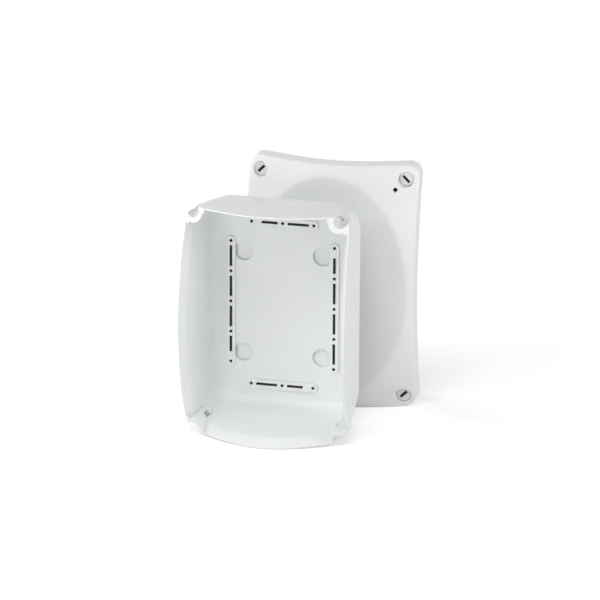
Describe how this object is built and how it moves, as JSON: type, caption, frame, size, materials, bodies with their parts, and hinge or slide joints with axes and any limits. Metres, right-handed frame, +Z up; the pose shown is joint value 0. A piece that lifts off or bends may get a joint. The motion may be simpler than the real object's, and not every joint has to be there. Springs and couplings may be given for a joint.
{
  "type": "cable junction box",
  "caption": "Moulded cable junction box, open: deep base with arched rim and slotted fixing strips, and its lid with an oval face and half-turn corner fasteners standing behind it.",
  "frame": {"origin": "centre of the base's four wall fixing holes, in the plane of its rear feet", "axes": "+Y into the wall behind the box, +Z up the long way of the box, +X to the right seen from the front"},
  "size_m": [0.1966, 0.1838, 0.2408],
  "materials": {
    "housing_plastic": "fine satin moulded plastic, light grey",
    "gasket_rubber": "soft foamed seal",
    "fastener_plastic": "satin moulded plastic, light grey"
  },
  "bodies": {
    "housing": {"base": "housing_plastic", "lid": "housing_plastic", "lid_gasket": "gasket_rubber"},
    "top_left_fastener": {"fastener_top_left": "fastener_plastic"},
    "top_right_fastener": {"fastener_top_right": "fastener_plastic"},
    "bottom_left_fastener": {"fastener_bottom_left": "fastener_plastic"},
    "bottom_right_fastener": {"fastener_bottom_right": "fastener_plastic"}
  },
  "joints": [
    {"name": "top_left_turn", "type": "hinge", "parent": "housing", "child": "top_left_fastener", "pos_m": [-0.0352, 0.065, 0.11454], "axis": [0, 1, 0], "range_deg": [0, 180]},
    {"name": "top_right_turn", "type": "hinge", "parent": "housing", "child": "top_right_fastener", "pos_m": [0.1052, 0.065, 0.11454], "axis": [0, 1, 0], "range_deg": [0, 180]},
    {"name": "bottom_left_turn", "type": "hinge", "parent": "housing", "child": "bottom_left_fastener", "pos_m": [-0.0352, 0.065, -0.10006], "axis": [0, 1, 0], "range_deg": [0, 180]},
    {"name": "bottom_right_turn", "type": "hinge", "parent": "housing", "child": "bottom_right_fastener", "pos_m": [0.1052, 0.065, -0.10006], "axis": [0, 1, 0], "range_deg": [0, 180]}
  ]
}
